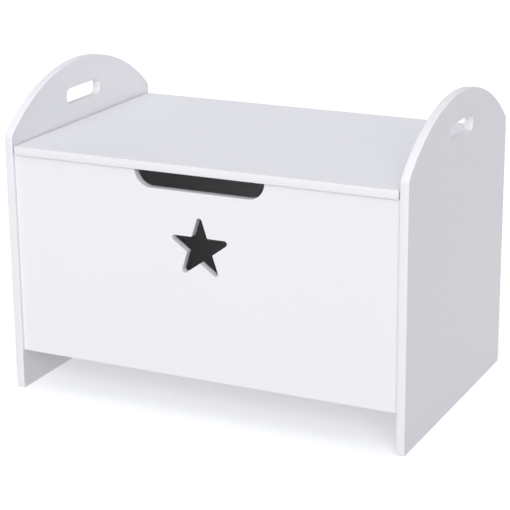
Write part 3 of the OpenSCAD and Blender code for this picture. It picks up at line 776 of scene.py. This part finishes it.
low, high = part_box("right_stay_guide")
guide_half_w, guide_half_h = (high.y - low.y) / 2, (high.z - low.z) / 2
plate_t, plate_corner_r = 2 * mm, 4 * mm
guide_face = high.x - plate_t
screws_low, screws_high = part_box("stay_guide_screws")
guide_screw_v = screws_high.z - screw_head_r - stud.z
plate_holes = [(0, v, screw_head_r + screw_slack, screw_head_r - plate_t / 2)
               for v in (-guide_screw_v, guide_screw_v)]
plate = sheet_solid([rounded_rectangle((-guide_half_w, -guide_half_h), (guide_half_w, guide_half_h),
                                       plate_corner_r, 10)],
                    plate_t, tumbled_ease, countersinks=plate_holes, ease_steps=4)
stud_l = guide_face - low.x
nut_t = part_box("right_stay_nut")[1].x - low.x
shoulder = stud_l - nut_t
lead_in, flare, dimple = 0.5 * mm, 0.6 * mm, 0.25 * mm
stud_solid = turned([(0.35 * stud_r, stud_l - dimple), (stud_r - 0.8 * mm, stud_l),
                     (stud_r - lead_in, stud_l),
                     *[(stud_r, h) for h in np.linspace(stud_l - lead_in, shoulder, 44)],
                     (stud_r, shoulder - 0.1 * mm), (stud_r, flare),
                     (stud_r + flare, 0.1 * mm), (stud_r + flare, -0.3 * mm)],
                    36, shape=thread(stud_l - 0.3 * mm, shoulder, pitch=0.8 * mm, depth=0.3 * mm))
for side, x_sign in (("left", -1), ("right", 1)):
    inward = facing((-x_sign, 0, 0))
    make_piece(side + "_guide_with_stud",
               joined([placed(plate, inward, (x_sign * (guide_face + plate_t / 2), stud.y, stud.z)),
                       placed(stud_solid, inward, (x_sign * guide_face, stud.y, stud.z))]),
               satin_nickel, "box", "stay_steel", side + "_stay_guide")
guide_spots = {x_sign: [(x_sign * guide_face, stud.y, stud.z + v) for v in (-guide_screw_v, guide_screw_v)]
               for x_sign in (-1, 1)}
make_piece("guide_plate_screws", joined([screws_at(guide_spots[s], (-s, 0, 0)) for s in (-1, 1)]),
           bright_zinc, "box", "zinc_steel", "stay_guide_screws")


# ---- Friction washers and nuts ----
# A nylon washer between plate and arm gives the lid its drag. A black moulded nut with seven lobes sets
# it by hand.

def moulded(name, colour, roughness, soft=0.0):
    """Moulded plastic or rubber: one tone with a faint cloud and a fine spark-eroded grain. Soft is how
    much light passes under the skin."""
    material = bpy.data.materials.new(name)
    skin = Nodes(material)
    shaded = tuple(c * 0.85 for c in colour)
    skin.shade({"Base Color": skin.tinted(skin.noise(200), (*shaded, 1), (*colour, 1)),
                "Normal": skin.relief(skin.noise(3000), strength=0.2, distance=0.0001),
                "Roughness": roughness, "Subsurface Weight": soft, "Subsurface Scale": 0.001})
    return material


def lobes(count, deep, from_radius):
    """Hollows round the rim: outside from_radius the radius falls by deep times a raised cosine."""
    def press(radius, angle, height):
        hollow = ((1 + np.cos(count * angle)) / 2) ** 1.5
        return radius - deep * hollow * (radius > from_radius)
    return press


natural_nylon = moulded("natural_nylon", (0.80, 0.79, 0.74), 0.45, 0.2)
black_plastic = moulded("black_plastic", (0.03, 0.03, 0.03), 0.42)
bore_r, crown_r, collar_w = stud_r + 0.05 * mm, 0.9 * mm, 1.6 * mm
for side, x_sign in (("left", -1), ("right", 1)):
    low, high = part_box(side + "_stay_washer")
    t, r, ease = high.x - low.x, (high.z - low.z) / 2, 0.3 * mm
    washer = turned([(r - ease, t / 2), (r, t / 2 - ease), (r, ease - t / 2), (r - ease, -t / 2),
                     (bore_r + ease, -t / 2), (bore_r, ease - t / 2), (bore_r, t / 2 - ease),
                     (bore_r + ease, t / 2)], 48, ring=True)
    inward = facing((-x_sign, 0, 0))
    make_piece(side + "_nylon_washer", placed(washer, inward, middle_of(side + "_stay_washer")),
               natural_nylon, "box", "nylon", side + "_stay_washer")
    low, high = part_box(side + "_stay_nut")
    t, r = high.x - low.x, (high.z - low.z) / 2
    crown = [(r - crown_r * (1 - math.sin(a)), t / 2 - crown_r * (1 - math.cos(a)))
             for a in np.linspace(0, math.pi / 2, 6)]
    collar_r = r - collar_w
    nut = turned([(collar_r, t / 2), *crown, (r, 0.4 * mm - t / 2), (r - 0.4 * mm, -t / 2),
                  (bore_r + 0.2 * mm, -t / 2), (bore_r, 0.2 * mm - t / 2), (bore_r, t / 2 - 0.7 * mm),
                  (bore_r + 0.3 * mm, t / 2 - 0.4 * mm), (collar_r - 0.2 * mm, t / 2 - 0.4 * mm)],
                 84, ring=True, shape=lobes(7, deep=0.7 * mm, from_radius=collar_r + 0.2 * mm))
    make_piece(side + "_friction_nut", placed(nut, inward, middle_of(side + "_stay_nut")),
               black_plastic, "box", "black_plastic", side + "_stay_nut")


# ---- Cam locks ----
# Die-cast zinc drums sunk into the panels. A bolt's head goes in at the open side, and a quarter turn
# with a cross screwdriver draws the joint tight.

def cam_drum():
    """Drum with its face at w = 0, open towards +u: within the open sector, the rows between the upper
    and lower lips stand at the throat's radius instead of the rim's."""
    lip, foot, throat_r, half_open = 2.6 * mm, 7.4 * mm, 1.9 * mm, math.radians(58)
    step, upper, lower = 0.02 * mm, 0.3 * mm, 0.4 * mm
    rows = [(cam_r - upper, 0), (cam_r, -upper), (cam_r, -lip), (cam_r, -lip - step),
            (cam_r, step - foot), (cam_r, -foot), (cam_r, lower - cam_t), (cam_r - lower, -cam_t)]

    def open_side(radius, angle, height):
        facing_bolt = np.abs((angle + np.pi) % (2 * np.pi) - np.pi) < half_open
        inside = (height < -lip - step / 2) & (height > step / 2 - foot)
        return np.where(facing_bolt & inside, throat_r, radius)

    return turned(rows, 60, shape=open_side, recess=driver_recess((3.5, 0.75, 0), (3.2, 0.6, -1.2)))


def cams_at(spots, w):
    """A drum at each spot (x, y, z), facing along w and open towards the panel's nearer end."""
    solids = []
    for x, y, z in spots:
        u = np.array((math.copysign(1, x), 0, 0))
        solids.append(placed(cam_drum(), [u, np.cross(w, u), np.array(w, float)], (x, y, z)))
    return joined(solids)


cast_zinc = plated_steel("cast_zinc", (0.60, 0.60, 0.61), (0.48, 0.49, 0.51), 0.42)
for wall, face_y, w in (("front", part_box("front_cam_locks")[1].y, (0, 1, 0)),
                        ("back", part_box("back_cam_locks")[0].y, (0, -1, 0))):
    make_piece(wall + "_cams", cams_at([(x, face_y, z) for x in (-cam_u, cam_u) for z in cam_heights], w),
               cast_zinc, "box", "zinc_steel", wall + "_cam_locks")
low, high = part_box("bottom_cam_locks")
make_piece("bottom_cams", cams_at([(x, y, low.z) for x in (-cam_u, cam_u) for y in floor_cam_y], (0, 0, -1)),
           cast_zinc, "box", "zinc_steel", "bottom_cam_locks")


# ---- Cam bolts ----
# Steel bolts driven into the side panels: a coarse thread for fibreboard, a collar that seats on the
# panel, and a thin neck with the head that a cam draws in.

low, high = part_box("right_cam_bolts")
inner_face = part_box("front_panel")[1].x
wall_mid_y, floor_mid_z = middle_of("back_panel").y, middle_of("bottom_panel").z
bolt_spots = [(y, z) for y in (-wall_mid_y, wall_mid_y) for z in cam_heights]
bolt_spots += [(y, floor_mid_z) for y in floor_cam_y]
bolt_tip, bolt_end = high.x - inner_face, low.x - inner_face
head_l, neck_r, head_r, collar_r, collar_l, bolt_thread_r = (v * mm for v in (4, 1.9, 3, 3.4, 2, 2.5))
head_in = bolt_end + head_l
taper, pitch, groove = 0.9 * mm, 1.6 * mm, 0.65 * mm
bolt = turned([(bolt_thread_r - taper, bolt_tip), (bolt_thread_r - 0.3 * mm, bolt_tip - 0.7 * mm),
               *[(bolt_thread_r, h) for h in np.linspace(bolt_tip - taper, 0.3 * mm, 46)],
               (bolt_thread_r - 0.5 * mm, 0.1 * mm), (bolt_thread_r - 0.5 * mm, 0),
               (collar_r - 0.2 * mm, 0), (collar_r, -0.2 * mm), (collar_r, 0.3 * mm - collar_l),
               (collar_r - 0.4 * mm, -collar_l), (neck_r, -collar_l - 0.2 * mm), (neck_r, head_in + 0.4 * mm),
               (head_r - 0.4 * mm, head_in - 0.2 * mm), (head_r, head_in - 0.8 * mm),
               (head_r, bolt_end + 0.5 * mm), (head_r - 0.5 * mm, bolt_end)],
              30, shape=thread(bolt_tip - 0.3 * mm, 0.2 * mm, pitch, groove))
for side, x_sign in (("left", -1), ("right", 1)):
    bolts = [placed(bolt, facing((x_sign, 0, 0)), (x_sign * inner_face, y, z)) for y, z in bolt_spots]
    make_piece(side + "_bolts", joined(bolts), bright_zinc, "box", "zinc_steel", side + "_cam_bolts")


# ---- Dowels ----
# Beech dowels of 6 by 24 mm with chamfered ends, rolled with twenty flutes that let the glue out.

def raw_beech():
    """Straight beech along X: rings stretched along the grain, and short dark rays between them."""
    material = bpy.data.materials.new("raw_beech")
    wood = Nodes(material)
    rings = wood.graded(wood.noise(1, place=wood.moved(Scale=(30, 900, 900))), 0.35, 0.65)
    rays = wood.graded(wood.noise(1, place=wood.moved(Scale=(900, 5000, 3000))), 0.62, 0.70)
    tone = wood.tinted(rings, (0.50, 0.31, 0.17, 1), (0.66, 0.45, 0.27, 1))
    wood.shade({"Base Color": wood.tinted(rays, tone, (0.30, 0.16, 0.08, 1)),
                "Normal": wood.relief(rings, strength=0.3, distance=0.0001), "Roughness": 0.62})
    return material


def flutes(radius, angle, height):
    """Round-bottomed flutes, pressed in where the dowel has its full radius."""
    count, deep = 20, 0.22 * mm
    full = radius > radius.max() - 0.01 * mm
    return radius - deep * full * np.cos(count / 2 * angle) ** 8


beech = raw_beech()
low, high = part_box("front_dowels")
dowel_r, half_l, chamfer = (high.y - low.y) / 2, 12 * mm, 0.7 * mm
dowel_end = [(dowel_r - chamfer, half_l), (dowel_r - 0.02 * mm, half_l - chamfer),
             (dowel_r, half_l - chamfer - 0.1 * mm)]
dowel = turned(dowel_end + [(r, -h) for r, h in dowel_end[::-1]], 120, shape=flutes)
for panel in ("front", "back", "bottom"):
    low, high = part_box(panel + "_dowels")
    ys, zs = (sorted({round(v, 6) for v in (low[k] + dowel_r, high[k] - dowel_r)}) for k in (1, 2))
    spots = [(x, y, z) for x in (low.x + half_l, high.x - half_l) for y in ys for z in zs]
    make_piece(panel + "_fluted_dowels", joined([placed(dowel, facing((1, 0, 0)), spot) for spot in spots]),
               beech, "box", "beech", panel + "_dowels")


# ---- Lid bumpers ----
# Soft clear buttons pressed into the front panel's upper edge, so that the lid shuts quietly.

low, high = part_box("lid_bumpers")
bumper_r, bumper_t = (high.y - low.y) / 2, high.z - low.z
crown, rim_r, foot_r = 0.25 * mm, 0.1 * mm, 0.2 * mm
bumper = turned(dome(bumper_r - rim_r, crown, bumper_t - crown, 12) +
                [(bumper_r, bumper_t - crown - rim_r), (bumper_r, foot_r), (bumper_r - foot_r, 0)], 40)
bumper_at = [(x, (low.y + high.y) / 2, low.z) for x in (low.x + bumper_r, high.x - bumper_r)]
make_piece("rubber_bumpers", joined([placed(bumper, facing((0, 0, 1)), spot) for spot in bumper_at]),
           moulded("soft_rubber", (0.72, 0.73, 0.73), 0.35, 0.4), "box", "clear_rubber", "lid_bumpers")
